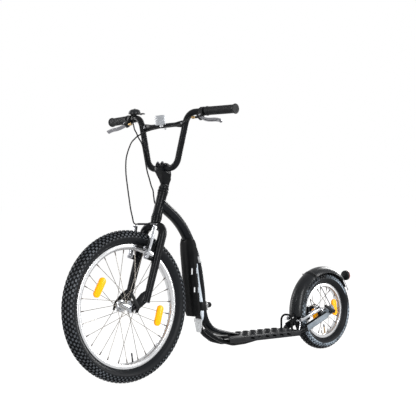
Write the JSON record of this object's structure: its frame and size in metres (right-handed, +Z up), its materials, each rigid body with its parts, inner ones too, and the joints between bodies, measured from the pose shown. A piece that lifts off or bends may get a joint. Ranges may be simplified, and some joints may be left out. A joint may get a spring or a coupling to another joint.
{
  "type": "kick bike",
  "caption": "Adult kick bike with a large front wheel, a small rear wheel, a low perforated footboard, a braced riser handlebar, rim brakes, mudguard, spray guard and bell.",
  "frame": {"origin": "on the ground, under the middle of the bike's bounding box, with both tyres standing on the plane z = 0", "axes": "+X forward along the direction of travel, towards the large front wheel; +Y to the rider's left; +Z up"},
  "size_m": [1.3996, 0.6646, 0.9389],
  "materials": {
    "black_paint": "glossy black paint",
    "black_plastic": "satin moulded plastic",
    "gloss_plastic": "glossy black moulding",
    "rubber": "matt rubber",
    "tyre": "matt rubber with a knobbed tread",
    "silver": "bright machined aluminium",
    "steel": "bright steel",
    "amber": "amber reflector plastic",
    "clear": "clear reflector plastic",
    "translucent": "pale translucent sheet",
    "red": "red reflector plastic"
  },
  "bodies": {
    "frame": {"head_tube": "black_paint", "down_tube": "black_paint", "side_rail_left": "black_paint", "side_rail_right": "black_paint", "rear_stay_left": "black_paint", "rear_stay_right": "black_paint", "footboard": "black_paint", "heel_hoop": "black_paint", "rear_mudguard": "gloss_plastic", "mudguard_stay_left": "steel", "mudguard_stay_right": "steel", "rear_reflector_housing": "black_plastic", "rear_reflector_lens": "red", "spray_guard": "black_plastic", "guard_bracket": "black_plastic", "mud_flap": "translucent", "headset_upper_cup": "black_paint", "headset_lower_cup": "black_paint", "rear_axle": "steel", "rear_brake_noodle": "silver", "rear_brake_cable": "rubber"},
    "steering": {"fork": "black_paint", "headset_nut": "black_paint", "stem": "black_paint", "stem_cap": "black_paint", "handlebar": "black_paint", "crossbar": "black_paint", "grip_left": "rubber", "grip_right": "rubber", "lever_clamp_left": "black_plastic", "lever_clamp_right": "black_plastic", "bell_base": "black_plastic", "bell_dome": "gloss_plastic", "front_reflector_bracket": "clear", "front_reflector_lens": "clear", "front_brake_cable": "rubber", "rear_brake_cable_upper": "rubber", "front_axle": "steel"},
    "front_wheel": {"front_tyre": "tyre", "front_rim": "silver", "front_hub": "steel", "front_valve": "black_plastic", "front_wheel_reflector_a": "amber", "front_wheel_reflector_b": "amber"},
    "rear_wheel": {"rear_tyre": "tyre", "rear_rim": "silver", "rear_hub": "steel", "rear_valve": "black_plastic", "rear_wheel_reflector_a": "amber", "rear_wheel_reflector_b": "amber"},
    "brake_lever_left": {"brake_lever_left": "silver"},
    "brake_lever_right": {"brake_lever_right": "silver"},
    "front_brake_arm_left": {"front_brake_arm_left": "silver"},
    "front_brake_arm_right": {"front_brake_arm_right": "silver"},
    "rear_brake_arm_left": {"rear_brake_arm_left": "silver"},
    "rear_brake_arm_right": {"rear_brake_arm_right": "silver"},
    "front_quick_release": {"front_quick_release": "black_plastic"},
    "rear_quick_release": {"rear_quick_release": "black_plastic"},
    "bell_hammer": {"bell_hammer": "black_plastic"},
    "guard_knob": {"guard_knob": "rubber"}
  },
  "joints": [
    {"name": "steer", "type": "hinge", "parent": "frame", "child": "steering", "pos_m": [0.29783, 0, 0.55127], "axis": [-0.342, 0, 0.9397], "range_deg": [-60, 60]},
    {"name": "front_wheel_spin", "type": "hinge", "parent": "steering", "child": "front_wheel", "pos_m": [0.4435, 0, 0.2563], "axis": [0, 1, 0], "continuous": true},
    {"name": "rear_wheel_spin", "type": "hinge", "parent": "frame", "child": "rear_wheel", "pos_m": [-0.5415, 0, 0.151], "axis": [0, 1, 0], "continuous": true},
    {"name": "left_lever_pull", "type": "hinge", "parent": "steering", "child": "brake_lever_left", "pos_m": [0.26089, 0.2005, 0.88239], "axis": [0.7103, 0.1079, 0.6956], "range_deg": [0, 17], "stiffness_Nm_per_rad": 2},
    {"name": "right_lever_pull", "type": "hinge", "parent": "steering", "child": "brake_lever_right", "pos_m": [0.26089, -0.2005, 0.88239], "axis": [-0.7103, 0.1079, -0.6956], "range_deg": [0, 17], "stiffness_Nm_per_rad": 2},
    {"name": "front_arm_left_close", "type": "hinge", "parent": "steering", "child": "front_brake_arm_left", "pos_m": [0.38597, 0.043, 0.42138], "axis": [0.9397, 0, 0.342], "range_deg": [0, 3.3]},
    {"name": "front_arm_right_close", "type": "hinge", "parent": "steering", "child": "front_brake_arm_right", "pos_m": [0.38597, -0.043, 0.42138], "axis": [0.9397, 0, 0.342], "range_deg": [-3.3, 0]},
    {"name": "rear_arm_left_close", "type": "hinge", "parent": "frame", "child": "rear_brake_arm_left", "pos_m": [-0.47691, 0.04, 0.16387], "axis": [0.3223, 0, 0.9466], "range_deg": [-2.2, 0]},
    {"name": "rear_arm_right_close", "type": "hinge", "parent": "frame", "child": "rear_brake_arm_right", "pos_m": [-0.47691, -0.04, 0.16387], "axis": [0.3223, 0, 0.9466], "range_deg": [0, 2.2]},
    {"name": "front_quick_release_open", "type": "hinge", "parent": "steering", "child": "front_quick_release", "pos_m": [0.4435, 0.0645, 0.2563], "axis": [-0.8805, 0, 0.4741], "range_deg": [0, 170]},
    {"name": "rear_quick_release_open", "type": "hinge", "parent": "frame", "child": "rear_quick_release", "pos_m": [-0.5415, 0.0645, 0.151], "axis": [-0.454, 0, 0.891], "range_deg": [0, 170]},
    {"name": "bell_hammer_swing", "type": "hinge", "parent": "steering", "child": "bell_hammer", "pos_m": [0.21847, -0.166, 0.921], "axis": [0, 0, 1], "range_deg": [-24, 0], "stiffness_Nm_per_rad": 0.05},
    {"name": "guard_knob_turn", "type": "hinge", "parent": "frame", "child": "guard_knob", "pos_m": [0.069, 0, 0.228], "axis": [1, 0, 0], "continuous": true}
  ],
  "couplings": [
    {"joint": "front_arm_left_close", "follows": "left_lever_pull", "ratio": 0.19412},
    {"joint": "front_arm_right_close", "follows": "left_lever_pull", "ratio": -0.19412},
    {"joint": "rear_arm_left_close", "follows": "right_lever_pull", "ratio": -0.12941},
    {"joint": "rear_arm_right_close", "follows": "right_lever_pull", "ratio": 0.12941}
  ]
}
